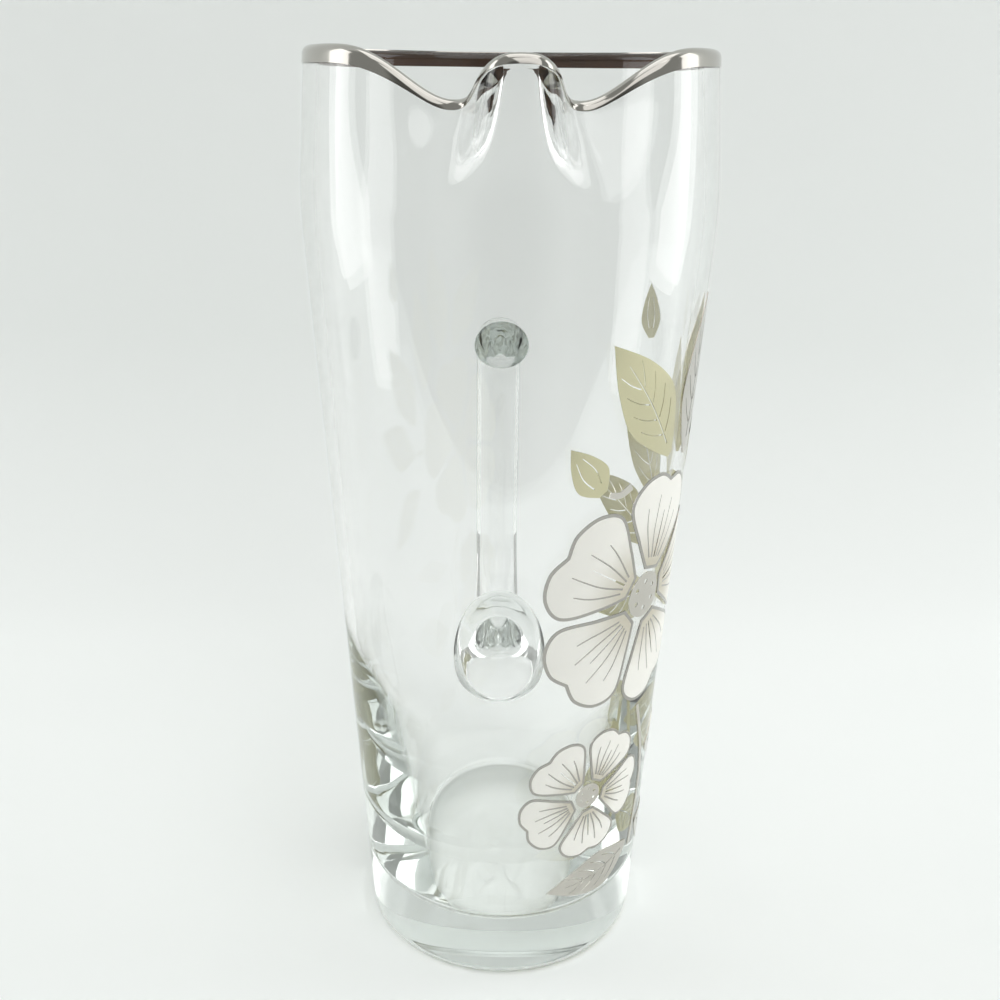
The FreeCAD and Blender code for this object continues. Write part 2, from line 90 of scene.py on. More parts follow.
# How much of the band's height is worn away round the pouring lip
LIP_WEAR_SHARE = 0.9
ENGRAVED_GAP = 0.8 * MM
STEM_WIDTH = 2.2 * MM
SPRAY_FOOT_MARGIN = 25.0 * MM
SPRAY_HEAD_MARGIN = 5.0 * MM
SPRAY_ANGLE = -42.0

RIM_HEIGHT = BELLY_HEIGHT + NECK_HEIGHT
SHOULDER = RIM_HEIGHT - RIM_WALL / 2
COLLAR_FOOT = BELLY_HEIGHT - COLLAR_DROP
SPRAY_HEIGHT = COLLAR_FOOT - SPRAY_FOOT_MARGIN - SPRAY_HEAD_MARGIN

# Fineness of the glass: a ring has this many sides, a stretch of wall this many rows
RING_SIDES = 288
WALL_ROWS = 20
COLLAR_ROWS = 40
BEAD_ROWS = 10
BAND_ROWS = 5
ROUND_ROWS = 8
ROD_SIDES = 64
ROD_STEP = 2.0 * MM
# Paper sweep: width, front edge, start and radius of the bend behind the pitcher, upright part
PAPER_WIDTH = 2.4
PAPER_FRONT = -0.36
PAPER_BEND_PLACE = 0.17
PAPER_BEND = 0.12
PAPER_BEND_ROWS = 12
PAPER_RISE = 0.9
# Lamps: name, place, aim, width and height in metres, power in watts
LAMPS = (
    ("key_softbox", (0.4, -0.95, 0.95), (0, 0, 0.12), 1.2, 1.2, 5.2),
    ("top_softbox", (0.1, 0.0, 1.2), (0, 0, 0.1), 0.9, 0.9, 3.2),
    ("left_strip", (-0.85, 0.14, 0.45), (0, 0, 0.4), 0.55, 0.9, 2.75),
    ("right_strip", (0.85, 0.14, 0.45), (0, 0, 0.4), 0.55, 0.9, 2.75),
)
# Room: how far back (-1 is the viewer, 1 the far wall) it turns pale, and where the viewer stands
ROOM_PALE_FROM, ROOM_PALE_TO = -0.05, 0.2
VIEWER_FROM, VIEWER_TO = -0.98, -0.85
ROOM_STRENGTH = 0.87
# Camera as found from the photo: lens and sensor in mm, turns in degrees
CAMERA_LENS = 40
CAMERA_SENSOR = 36
CAMERA_PLACE = (-11.5 * MM, -298.8 * MM, 248.5 * MM)
CAMERA_TURN = -1.9
CAMERA_TILT = 69.15
CAMERA_ROLL = 0.64
# Enough for light that is mirrored to and fro inside the heavy base
LIGHT_BOUNCES = 24
# Air under the fire-polished foot, which touches the paper at a few places only
FLOOR_GAP = 0.4 * MM

# Motifs of the spray: shares of its height, then widths as shares of lengths
BLOSSOM_RISE_SHARE = 0.55
HEART_RADIUS_SHARE = 0.0376
PETAL_LENGTH_SHARE = 0.156
LEAF_LENGTH_SHARE = 0.231
BUD_LENGTH_SHARE = 0.0925
LEAF_WIDTH_SHARE = 0.45
BUD_WIDTH_SHARE = 0.6
PETALS = 5
BLOSSOM_REACH = (HEART_RADIUS_SHARE + PETAL_LENGTH_SHARE) * SPRAY_HEIGHT + ENGRAVED_GAP

# Half widths along a leaf, petal and bud: shares of the length and of half the width
LEAF_SHARES = ((0, 0.12), (0.18, 0.62), (0.42, 1), (0.72, 0.66), (1, 0))
PETAL_SHARES = ((0, 0.2), (0.26, 0.58), (0.6, 1), (0.86, 0.84), (0.98, 0.4))
BUD_SHARES = ((0, 0.3), (0.3, 1), (0.66, 0.7), (1, 0))
PETAL_NOTCH_SHARE = 0.93
PETAL_FILL_SHARE = 0.9
STEM_TAPER_SHARE = 0.6

# Places: shares of the large blossom's reach, across towards the back and up from its heart
BLOSSOMS = (
    ("blossom", 0, 0, 1.0, 14),
    ("low_blossom", -0.41, -1.72, 0.6, 30),
)
LEAVES = (
    ("upper_front_leaf", 0.13, 1.13, -32, 1.0, -0.1),
    ("top_leaf", 0.46, 1.05, 6, 1.05, 0.1),
    ("low_front_leaf", 0.19, -2.51, -104, 0.78, 0.1),
    ("low_back_leaf", 0.4, -2.43, 118, 0.74, 0.1),
    ("side_leaf", 0.42, -1.65, 98, 0.9, -0.1),
    ("back_low_leaf", 1.2, -0.5, 118, 0.86, 0.1),
    ("back_side_leaf", 1.31, -0.08, 76, 0.96, -0.1),
    ("back_upper_leaf", 1.27, 0.27, 36, 1.05, 0.1),
    ("back_top_leaf", 0.98, 0.66, 2, 1.0, 0.12),
)
BUDS = (
    ("front_bud", -0.56, 0.97, -38, 1.0),
    ("back_bud", 1.81, 1.67, 14, 1.0),
)
# Pieces whose silver still has its old lacquer on
LACQUERED = ("upper_front_leaf", "front_bud")
STEMS = (
    ("main_stem", (0.28, -2.6), (0.34, -1.84), (0.1, -1.06)),
    ("back_stalk", (1.05, -0.08), (1.14, -0.05), (1.23, -0.08)),
    ("bud_stalk", (-0.3, 0.98), (-0.4, 0.93), (-0.5, 0.95)),
)

# Engraving
MIDRIB_WIDTH = 0.6 * MM
SIDE_VEIN_WIDTH = 0.42 * MM
MIDRIB_SHARES = (0.1, 0.82)
SIDE_VEIN_SHARES = (0.2, 0.34, 0.48, 0.62)
SIDE_VEIN_REACH_SHARE = 0.74
SIDE_VEIN_SWEEP_SHARE = 0.17
SIDE_VEIN_MIDDLE_SHARE = 0.55
SIDE_VEIN_SAG_SHARE = 0.02
# Seams of a bud: how far to each side, and their shares along and across
BUD_SEAM_SPREAD_SHARE = 0.2
BUD_SEAM_SHARES = ((0.18, 0.6), (0.45, 1), (0.75, 0.5))
PETAL_EDGE = 0.9 * MM
PETAL_LINE_WIDTH = 0.55 * MM
PETAL_LINE_RISE = 0.015 * MM
# Fine lines on a petal: places across and along that all share, then how far to the side each
# runs and where along the petal it ends
PETAL_LINE_SHARES = ((0.3, 0.12), (0.8, 0.42))
PETAL_LINES = ((-0.55, 0.62), (-0.26, 0.76), (0.22, 0.72), (0.5, 0.58))
# Painted shade round each blossom's heart: where it starts and ends, as shares of its reach
HEART_SHADE_FROM, HEART_SHADE_TO = 0.22, 0.7
PETAL_RIB_SHARES = (0.12, 0.6)
HEART_SIDES = 48
HEART_DOTS = 6
HEART_DOT_SHARE = 0.11
HEART_DOT_PLACE_SHARE = 0.6
DOT_SIDES = 16
OUTLINE_STEPS = 9
STRIP_STEPS = 8
WRAP_STEP = 1.5 * MM


def cone_radius(height):
    """Outer radius of the straight taper."""
    return BASE_RADIUS + (BELLY_RADIUS - BASE_RADIUS) * height / BELLY_HEIGHT


def neck_radius(height):
    """Outer radius of the round collar: two tapers, blended over the belly."""
    low_slope = (BELLY_RADIUS - BASE_RADIUS) / BELLY_HEIGHT
    high_slope = (RIM_RADIUS - BELLY_RADIUS) / NECK_HEIGHT
    above = height - BELLY_HEIGHT
    radius = BELLY_RADIUS + above * (low_slope if above < 0 else high_slope)
    within = max(0, BELLY_BLEND - abs(above))
    return radius + (high_slope - low_slope) * within**2 / (4 * BELLY_BLEND)


def wall_at(height):
    """Glass thickness above the turn, growing a little towards the rim."""
    share = (height - TURN_HEIGHT) / (RIM_HEIGHT - TURN_HEIGHT)
    return WAIST_WALL + (RIM_WALL - WAIST_WALL) * share


def lip_share(angle):
    """How much of the lip's pull is felt at an angle."""
    return math.exp(-((angle / LIP_ANGLE) ** 4))


def pinch(angle, centre):
    """Depth share of a pinch: steep with a flat top towards the lip, gentle on the far side."""
    offset = abs(angle) - centre
    if offset < 0:
        return math.exp((offset / PINCH_INNER_ANGLE) ** 3)
    return math.exp(-((offset / PINCH_OUTER_ANGLE) ** 2))


def collar_point(angle, rise):
    """Point on the collar's outer face: angle from the lip, rise from its foot to the rim."""
    lip = lip_share(angle)
    dip = RIM_DIP * pinch(angle, PINCH_ANGLE) + LIP_DROP * lip
    height = COLLAR_FOOT + (SHOULDER - dip - COLLAR_FOOT) * rise
    fall = min(1, (1 - rise) / PINCH_FALL_SHARE)
    fade = (1 - fall) ** 2 * (1 + 2 * fall)
    dent = pinch(angle, PINCH_ANGLE + PINCH_DRIFT_ANGLE * fall)
    radius = neck_radius(height) + fade * (LIP_REACH * lip - PINCH_DEPTH * dent)
    turn = math.radians(angle)
    return Vector((radius * math.sin(turn), -radius * math.cos(turn), height))


def collar_normal(angle, rise):
    """Level direction that points out of the collar."""
    step = 90 / RING_SIDES
    along = collar_point(angle + step, rise) - collar_point(angle - step, rise)
    return Vector((along.y, -along.x, 0)).normalized()


def linear(code):
    """Scene-linear colour of an sRGB hex code."""
    channels = [int(code[place:place + 2], 16) / 255 for place in (1, 3, 5)]
    return [c / 12.92 if c <= 0.04045 else ((c + 0.055) / 1.055) ** 2.4 for c in channels] + [1]


def add(tree, kind, inputs=None, **settings):
    """Node with its settings; each input is a value or another node's socket."""
    node = tree.nodes.new(kind)
    for name, value in settings.items():
        setattr(node, name, value)
    for name, value in (inputs or {}).items():
        if isinstance(value, bpy.types.NodeSocket):
            tree.links.new(value, node.inputs[name])
        else:
            node.inputs[name].default_value = value
    return node


def new_material(name):
    """Empty material, its tree and its output."""
    material = bpy.data.materials.new(name)
    material.use_nodes = True
    tree = material.node_tree
    tree.nodes.clear()
    return material, tree, add(tree, "ShaderNodeOutputMaterial")


def blown_glass():
    """Soda-lime glass, fire polished: clear, faintly green where thick, softly uneven."""
    material, tree, output = new_material("blown_soda_lime_glass")
    place = add(tree, "ShaderNodeTexCoord").outputs["Object"]
    waves = add(tree, "ShaderNodeTexNoise", {"Vector": place, "Scale": 1 / (28 * MM), "Detail": 1.0})
    uneven = add(tree, "ShaderNodeBump", {
        "Height": waves.outputs["Fac"], "Strength": 0.06, "Distance": 1.2 * MM})
    glass = add(tree, "ShaderNodeBsdfPrincipled", {
        "Base Color": (1, 1, 1, 1), "Roughness": 0.0, "IOR": 1.52, "Transmission Weight": 1.0,
        "Normal": uneven.outputs["Normal"]})
    tint = add(tree, "ShaderNodeVolumeAbsorption", {"Color": linear("#c6d0ca"), "Density": 6.5})
    tree.links.new(glass.outputs["BSDF"], output.inputs["Surface"])
    tree.links.new(tint.outputs["Volume"], output.inputs["Volume"])
    return material


def painted_heart_shade(tree, place, colour, heart_shade_colour):
    """Painted shade: colour that falls off to a darker one round each blossom's heart."""
    nearest = 1.0
    for name, across, up, size_share, turn in BLOSSOMS:
        heart = add(tree, "ShaderNodeVectorMath", {
            0: place, 1: on_taper(*placed((across, up), 0, 0, 0), 0)}, operation="DISTANCE")
        share = add(tree, "ShaderNodeMath", {
            0: heart.outputs["Value"], 1: BLOSSOM_REACH * size_share}, operation="DIVIDE")
        nearest = add(tree, "ShaderNodeMath", {
            0: nearest, 1: share.outputs["Value"]}, operation="MINIMUM").outputs["Value"]
    depth = add(tree, "ShaderNodeMapRange", {
        "Value": nearest, "From Min": HEART_SHADE_FROM, "From Max": HEART_SHADE_TO}, interpolation_type="SMOOTHSTEP")
    mixed = add(tree, "ShaderNodeMix", {"Factor": depth.outputs["Result"]}, data_type="RGBA")
    mixed.inputs["A"].default_value = heart_shade_colour
    tree.links.new(colour, mixed.inputs["B"])
    return mixed.outputs["Result"]


def silver(name, code, roughness, metallic, grain_mm, unevenness, heart_shade_code=None):
    """Silver deposit: colour and gloss vary softly with handling, grain sets the finish.

    The grain of real silver is too fine to show, so it is drawn as coarse as it needs to show."""
    material, tree, output = new_material(name)
    place = add(tree, "ShaderNodeTexCoord").outputs["Object"]
    clouds = add(tree, "ShaderNodeTexNoise", {"Vector": place, "Scale": 1 / (9 * MM), "Detail": 3.0})
    tone = add(tree, "ShaderNodeMix", {"Factor": clouds.outputs["Fac"]}, data_type="RGBA")
    shade = linear(code)
    tone.inputs["A"].default_value = [c * (1 - unevenness) for c in shade[:3]] + [1]
    tone.inputs["B"].default_value = [min(1, c * (1 + unevenness)) for c in shade[:3]] + [1]
    colour = tone.outputs["Result"]
    # Painted shade: towards each blossom's heart the colour falls off to a second, darker one
    if heart_shade_code:
        colour = painted_heart_shade(tree, place, colour, linear(heart_shade_code))
    gloss = add(tree, "ShaderNodeMapRange", {
        "Value": clouds.outputs["Fac"], "To Min": roughness * 0.8, "To Max": roughness * 1.25})
    grain = add(tree, "ShaderNodeTexNoise", {
        "Vector": place, "Scale": 1 / (grain_mm * MM), "Detail": 2.0})
    bump = add(tree, "ShaderNodeBump", {
        "Height": grain.outputs["Fac"], "Strength": 0.12, "Distance": 0.02 * MM})
    skin = add(tree, "ShaderNodeBsdfPrincipled", {
        "Base Color": colour, "Metallic": metallic,
        "Roughness": gloss.outputs["Result"], "Normal": bump.outputs["Normal"]})
    tree.links.new(skin.outputs["BSDF"], output.inputs["Surface"])
    return material


def deselect():
    """Object mode with nothing selected."""
    if bpy.context.mode != "OBJECT":
        bpy.ops.object.mode_set(mode="OBJECT")
    bpy.ops.object.select_all(action="DESELECT")


def activate(piece):
    """One piece selected and active."""
    deselect()
    piece.select_set(True)
    bpy.context.view_layer.objects.active = piece


def edit_all(piece):
    """Edit mode with the whole piece selected."""
    activate(piece)
    bpy.ops.object.mode_set(mode="EDIT")
    bpy.ops.mesh.select_all(action="SELECT")


def draw_line(name, points):
    """Edge line drawn point by point from one vertex; left in edit mode."""
    deselect()
    bpy.ops.mesh.primitive_plane_add(size=MM)
    line = bpy.context.object
    line.name = name
    edit_all(line)
    bpy.ops.mesh.merge(type="CENTER")
    bpy.ops.transform.translate(value=points[0])
    for start, end in zip(points, points[1:]):
        step = Vector(end) - Vector(start)
        bpy.ops.mesh.extrude_vertices_move(TRANSFORM_OT_translate={"value": step})
    return line


def apply_modifier(piece, kind, **settings):
    """Modifier added with its settings and applied at once."""
    activate(piece)
    modifier = piece.modifiers.new(kind.title(), kind)
    for name, value in settings.items():
        setattr(modifier, name, value)
    bpy.ops.object.modifier_apply(modifier=modifier.name)


def finish_piece(piece, slot, *nodes):
    """Piece stands for its CAD nodes and rides with the pitcher."""
    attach(piece, "root")
    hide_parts(*nodes)


def rounded(before, corner, after, radius):
    """Points of the arc that rounds a corner of a profile."""
    corner = Vector(corner)
    first = (Vector(before) - corner).normalized()
    second = (Vector(after) - corner).normalized()
    inward = (first + second).normalized()
    half_angle = first.angle(second) / 2
    centre = corner + inward * (radius / math.sin(half_angle))
    start = corner + first * (radius / math.tan(half_angle)) - centre
    end = corner + second * (radius / math.tan(half_angle)) - centre
    return [tuple(centre + start.slerp(end, row / ROUND_ROWS) * radius) for row in range(ROUND_ROWS + 1)]


def steps(start, end, count):
    """Evenly spaced numbers with both ends."""
    return [start + (end - start) * row / count for row in range(count + 1)]


def body_profile():
    """Half section of the unpinched vessel: under the foot, up the wall, over the rim, down inside."""
    inner_foot = (neck_radius(COLLAR_FOOT) - wall_at(COLLAR_FOOT), COLLAR_FOOT)
    turn = (cone_radius(TURN_HEIGHT) - WAIST_WALL, TURN_HEIGHT)
    floor = (FLOOR_RADIUS, FLOOR_THICKNESS)
    outer_foot = (neck_radius(COLLAR_FOOT), COLLAR_FOOT)
    heel = rounded((0, 0), (BASE_RADIUS, 0), outer_foot, HEEL_ROUND)

    profile = [(share * heel[0][0], 0) for share in steps(0, 1, ROUND_ROWS)]
    profile += heel[1:]
    profile += [(cone_radius(z), z) for z in steps(heel[-1][1], COLLAR_FOOT, WALL_ROWS)[1:]]
    band_foot = SHOULDER - BAND_HEIGHT
    profile += [(neck_radius(z), z) for z in steps(COLLAR_FOOT, band_foot, COLLAR_ROWS)[1:]]
    band_start = len(profile) - 1
    profile += [(neck_radius(z), z) for z in steps(band_foot, SHOULDER, BAND_ROWS)[1:]]
    half_wall = wall_at(SHOULDER) / 2
    middle = neck_radius(SHOULDER) - half_wall
    for turned in steps(0, math.pi, 2 * BEAD_ROWS)[1:]:
        profile.append((middle + half_wall * math.cos(turned), SHOULDER + half_wall * math.sin(turned)))
    band_end = len(profile) - BEAD_ROWS
    profile += [
        (neck_radius(z) - wall_at(z), z) for z in steps(SHOULDER, COLLAR_FOOT, COLLAR_ROWS + BAND_ROWS)[1:]
    ]
    turn_arc = rounded(inner_foot, turn, floor, TURN_ROUND)
    upper = steps(0, 1, WALL_ROWS // 2)[1:]
    profile += [tuple(Vector(inner_foot).lerp(Vector(turn_arc[0]), share)) for share in upper]
    profile += turn_arc[1:]
    floor_arc = rounded(turn, floor, (0, FLOOR_THICKNESS), FLOOR_ROUND)
    profile += [tuple(Vector(turn_arc[-1]).lerp(Vector(floor_arc[0]), share)) for share in upper]
    profile += floor_arc[1:]
    profile += [(share * floor_arc[-1][0], FLOOR_THICKNESS) for share in steps(1, 0, ROUND_ROWS)[1:]]
    return profile, band_start, band_end


def work_collar(mesh):
    """Lip and pinches worked into the round collar, as a glassmaker does with the hot rim."""
    for vertex in mesh.vertices:
        x, y, z = vertex.co
        if z <= COLLAR_FOOT:
            continue
        angle = math.degrees(math.atan2(x, -y))
        level = min(z, SHOULDER)
        rise = (level - COLLAR_FOOT) / (SHOULDER - COLLAR_FOOT)
        depth = neck_radius(level) - math.hypot(x, y)
        vertex.co = collar_point(angle, rise) - collar_normal(angle, rise) * depth
        vertex.co.z += z - level


def blow_body(glass):
    """Glass body: its half section drawn point by point, spun round and worked at the collar."""
    profile, band_start, band_end = body_profile()
    body = draw_line("blown_body", [(radius, 0, height) for radius, height in profile])
    bpy.ops.object.mode_set(mode="OBJECT")
    band = body.vertex_groups.new(name="band")
    band.add(range(band_start, band_end), 1, "REPLACE")
    bpy.ops.object.mode_set(mode="EDIT")
    bpy.ops.mesh.select_all(action="SELECT")
    bpy.ops.mesh.spin(steps=RING_SIDES, angle=2 * math.pi, center=(0, 0, 0), axis=(0, 0, 1))
    bpy.ops.mesh.select_all(action="SELECT")
    bpy.ops.mesh.remove_doubles(threshold=0.001 * MM)
    bpy.ops.mesh.normals_make_consistent(inside=False)
    bpy.ops.object.mode_set(mode="OBJECT")
    work_collar(body.data)
    bpy.ops.object.shade_smooth()
    body.data.materials.append(glass)
    return body


def plate_rim(body, worn, brown):
    """Silver band: a copy of the rim's outer skin, worn low round the lip and thickened outwards."""
    activate(body)
    bpy.ops.object.duplicate()
    band = bpy.context.object
    band.name = "rim_band_silver"
    bpy.ops.object.mode_set(mode="EDIT")
    bpy.ops.mesh.select_all(action="DESELECT")
    bpy.ops.object.vertex_group_select()
    bpy.ops.mesh.select_all(action="INVERT")
    bpy.ops.mesh.delete(type="VERT")
    bpy.ops.object.mode_set(mode="OBJECT")
    band.vertex_groups.clear()
    for vertex in band.data.vertices:
        x, y, z = vertex.co
        angle = math.degrees(math.atan2(x, -y))
        rise = (z - COLLAR_FOOT) / (collar_point(angle, 1).z - COLLAR_FOOT)
        if rise < 1:
            wear = min(1, pinch(angle, PINCH_ANGLE) + lip_share(angle))
            vertex.co = collar_point(angle, 1 - (1 - rise) * (1 - LIP_WEAR_SHARE * wear))
    band.data.materials.clear()
    band.data.materials.append(worn)
    band.data.materials.append(brown)
    thickness = SILVER_GAUGE + SILVER_BOND
    apply_modifier(band, "SOLIDIFY", thickness=thickness, offset=1 - 2 * SILVER_BOND / thickness,
                   material_offset=1, use_even_offset=True)
    bpy.ops.object.shade_smooth_by_angle(angle=math.radians(40))
    finish_piece(band, "polished_silver", "rim_band")


def handle_line():
    """Places along the middle of the handle, crown first: out, height and lean from level."""
    crown_height = CROWN_SHARE * BELLY_HEIGHT
    foot_height = FOOT_SHARE * BELLY_HEIGHT
    grip = cone_radius(crown_height) + FINGER_ROOM + ROD_DEPTH / 2
    start = cone_radius(crown_height) - RIM_WALL
    end = cone_radius(foot_height) - WAIST_WALL - FOOT_WIDTH**2 / 8 / cone_radius(foot_height)

    def shares(run):
        count = round(run / ROD_STEP)
        return [row / count for row in range(count)]

    run = grip - CROWN_BEND - start
    for share in shares(run):
        yield start + run * share, crown_height, 0
    for share in shares(CROWN_BEND * math.pi / 2):
        turn = share * math.pi / 2
        yield (grip - CROWN_BEND * (1 - math.sin(turn)),
               crown_height - CROWN_BEND * (1 - math.cos(turn)), -turn)
    top = crown_height - CROWN_BEND
    run = top - foot_height - FOOT_BEND
    for share in shares(run):
        yield grip, top - run * share, -math.pi / 2
    for share in shares(FOOT_BEND * math.pi / 2):
        turn = share * math.pi / 2
        yield (grip - FOOT_BEND * (1 - math.cos(turn)),
               foot_height + FOOT_BEND * (1 - math.sin(turn)), -math.pi / 2 - turn)
    run = grip - FOOT_BEND - end
    for share in shares(run) + [1]:
        yield grip - FOOT_BEND - run * share, foot_height, -math.pi


def rod_size(out, height):
    """Width and depth of the handle's oval, swelling towards the wall at its crown and foot."""
    upper = height > (CROWN_SHARE + FOOT_SHARE) / 2 * BELLY_HEIGHT
    share, width, depth, flare = (
        (CROWN_SHARE, CROWN_WIDTH, CROWN_HEIGHT, CROWN_FLARE) if upper
        else (FOOT_SHARE, FOOT_WIDTH, FOOT_HEIGHT, FOOT_FLARE))
    stand = max(0, out - cone_radius(share * BELLY_HEIGHT))
    swell = math.exp(-((stand / flare) ** 2))
    return ROD_WIDTH + swell * (width - ROD_WIDTH), ROD_DEPTH + swell * (depth - ROD_DEPTH)


def select_vertices(mesh, chosen):
    """Edit-mode selection of the vertices with these numbers."""
    bpy.ops.object.mode_set(mode="EDIT")
    bpy.ops.mesh.select_all(action="DESELECT")
    bpy.ops.object.mode_set(mode="OBJECT")
    for vertex in mesh.vertices:
        vertex.select = vertex.index in chosen
    bpy.ops.object.mode_set(mode="EDIT")


def draw_handle(glass):
    """Handle: ovals set along its line, bridged, capped and cut to the taper at both ends."""
    deselect()
    handle = None
    for count, (out, height, lean) in enumerate(handle_line()):
        width, depth = rod_size(out, height)
        bpy.ops.mesh.primitive_circle_add(
            vertices=ROD_SIDES, radius=depth / 2, location=(0, out, height),
            rotation=(lean + math.pi / 2, 0, 0))
        if handle is None:
            handle = bpy.context.object
            handle.name = "applied_handle"
            bpy.ops.object.transform_apply(location=True, rotation=True, scale=True)
            bpy.ops.object.mode_set(mode="EDIT")
            bpy.ops.mesh.select_all(action="SELECT")
        bpy.ops.transform.resize(value=(width / depth, 1, 1), center_override=(0, out, height))
        if count == 0:
            bpy.ops.mesh.edge_face_add()
            continue
        first = (count - 1) * ROD_SIDES
        select_vertices(handle.data, range(first, first + 2 * ROD_SIDES))
        bpy.ops.mesh.bridge_edge_loops()
    last = count * ROD_SIDES
    select_vertices(handle.data, range(last, last + ROD_SIDES))
    bpy.ops.mesh.edge_face_add()
    bpy.ops.mesh.select_all(action="SELECT")
    bpy.ops.mesh.normals_make_consistent(inside=False)
    deselect()
    bpy.ops.mesh.primitive_cone_add(
        vertices=RING_SIDES, radius1=BASE_RADIUS + SILVER_BOND,
        radius2=cone_radius(COLLAR_FOOT) + SILVER_BOND, depth=COLLAR_FOOT, location=(0, 0, COLLAR_FOOT / 2))
    seat = bpy.context.object
    apply_modifier(handle, "BOOLEAN", object=seat, operation="DIFFERENCE", solver="EXACT")
    bpy.data.objects.remove(seat)
    activate(handle)
    bpy.ops.object.shade_smooth_by_angle(angle=math.radians(35))
    handle.data.materials.append(glass)
    finish_piece(handle, "clear_glass", "handle")


def placed(place, turn, across, along):
    """Point of a motif on the unrolled wall: side and height."""
    lean = math.radians(turn)
    side = place[0] * BLOSSOM_REACH + along * math.sin(lean) + across * math.cos(lean)
    up = place[1] * BLOSSOM_REACH + along * math.cos(lean) - across * math.sin(lean)
    return side, SPRAY_FOOT_MARGIN + BLOSSOM_RISE_SHARE * SPRAY_HEIGHT + up


def on_taper(side, height, level):
    """Point of the unrolled wall, wrapped round the taper and lifted off it by a level."""
    azimuth = math.radians(SPRAY_ANGLE) + side / cone_radius(height)
    radius = cone_radius(height) + level
    return radius * math.cos(azimuth), radius * math.sin(azimuth), height


def smooth(points, count=OUTLINE_STEPS):
    """Points of a smooth line through a few given ones."""
    points = [Vector(point) for point in points]
    line = []
    for index in range(len(points) - 1):
        before = points[max(0, index - 1)]
        start, end = points[index], points[index + 1]
        after = points[min(len(points) - 1, index + 2)]
        for row in range(count):
            t = row / count
            line.append(0.5 * (
                2 * start + (end - before) * t
                + (2 * before - 5 * start + 4 * end - after) * t**2
                + (3 * start - before - 3 * end + after) * t**3))
    return line + [points[-1]]


def blade(length, width, shares, bow=0.0):
    """Closed outline of a blade: across and along, up one side and down the other."""
    edge = smooth(shares)
    left = [(bow * length * v**2 - h * width / 2, v * length) for v, h in edge]
    right = [(bow * length * v**2 + h * width / 2, v * length) for v, h in reversed(edge)]
    return left + right[1 if shares[-1][1] == 0 else 0:]


def flat_face(name, outline, *materials):
    """Flat face, facing up, drawn along its outline."""
    closed = list(outline) + [outline[0]]
    face = draw_line(name, [(side, height, 0) for side, height in closed])
    bpy.ops.mesh.select_all(action="SELECT")
    bpy.ops.mesh.remove_doubles(threshold=0.001 * MM)
    bpy.ops.mesh.edge_face_add()
    bpy.ops.object.mode_set(mode="OBJECT")
    if face.data.polygons[0].normal.z < 0:
        face.data.flip_normals()
    for material in materials:
        face.data.materials.append(material)
    return face


def strip(points, start_width, end_width):
    """Closed outline of a tapered line through a few points."""
    line = smooth(points, STRIP_STEPS)
    left, right = [], []
    for index, point in enumerate(line):
        ahead = line[min(len(line) - 1, index + 1)] - line[max(0, index - 1)]
        aside = Vector((-ahead.y, ahead.x)).normalized()
        half = (start_width + (end_width - start_width) * index / (len(line) - 1)) / 2
        left.append(point + aside * half)
        right.append(point - aside * half)
    return left + right[::-1]


def thicken(face, low, high):
    """Flat face made a plate between two levels."""
    edit_all(face)
    bpy.ops.transform.translate(value=(0, 0, high))
    apply_modifier(face, "SOLIDIFY", thickness=high - low, offset=-1)


def engrave(plate, outlines):
    """Lines cut right through a plate."""
    for outline in outlines:
        tool = flat_face("burin", outline)
        thicken(tool, -MM, MM)
        apply_modifier(plate, "BOOLEAN", object=tool, operation="DIFFERENCE", solver="EXACT")
        bpy.data.objects.remove(tool)


def wrap(plate):
    """Plate cut into narrow upright strips and laid round the taper."""
    activate(plate)
    sides = [vertex.co.x for vertex in plate.data.vertices]
    bpy.ops.object.mode_set(mode="EDIT")
    for count in range(math.ceil(min(sides) / WRAP_STEP), math.floor(max(sides) / WRAP_STEP) + 1):
        bpy.ops.mesh.select_all(action="SELECT")
        bpy.ops.mesh.bisect(plane_co=(count * WRAP_STEP, 0, 0), plane_no=(1, 0, 0))
    bpy.ops.object.mode_set(mode="OBJECT")
    for vertex in plate.data.vertices:
        vertex.co = on_taper(*vertex.co)
    bpy.ops.object.shade_smooth_by_angle(angle=math.radians(30))


def finish_patch(plate, node, slot):
    """Underside gets the last material, then the plate is wrapped and stands for its node."""
    for polygon in plate.data.polygons:
        if polygon.normal.z < -0.5:
            polygon.material_index = len(plate.data.materials) - 1
    wrap(plate)
    finish_piece(plate, slot, node)


def lay_leaf(materials, name, across, up, turn, length_share, bow):
    """Leaf with a midrib and paired side veins cut through the silver."""
    place = (across, up)
    length = LEAF_LENGTH_SHARE * SPRAY_HEIGHT * length_share
    width = LEAF_WIDTH_SHARE * length

    def on_wall(points):
        return [placed(place, turn, *point) for point in points]

    def rib(share):
        return Vector((bow * length * share**2, share * length))

    outline = on_wall(blade(length, width, LEAF_SHARES, bow))
    leaf = flat_face(f"{name}_silver", outline, *materials)
    thicken(leaf, -SILVER_BOND, SILVER_GAUGE)
    begin, end = MIDRIB_SHARES
    ribs = [strip([rib(begin), rib((begin + end) / 2), rib(end)], MIDRIB_WIDTH, MIDRIB_WIDTH / 3)]
    half_widths = smooth(LEAF_SHARES)
    for share in SIDE_VEIN_SHARES:
        tip = share + SIDE_VEIN_SWEEP_SHARE
        half = min(half_widths, key=lambda point: abs(point.x - tip)).y * width / 2
        for hand in (-1, 1):
            reach = hand * half * SIDE_VEIN_REACH_SHARE
            start = rib(share) + Vector((hand * MIDRIB_WIDTH, 0))
            finish = rib(tip) + Vector((reach, 0))
            middle = start.lerp(finish, SIDE_VEIN_MIDDLE_SHARE)
            middle.y -= SIDE_VEIN_SAG_SHARE * length
            ribs.append(strip([start, middle, finish], SIDE_VEIN_WIDTH, SIDE_VEIN_WIDTH / 2))
    engrave(leaf, [on_wall(line) for line in ribs])
    finish_patch(leaf, name, "polished_silver")


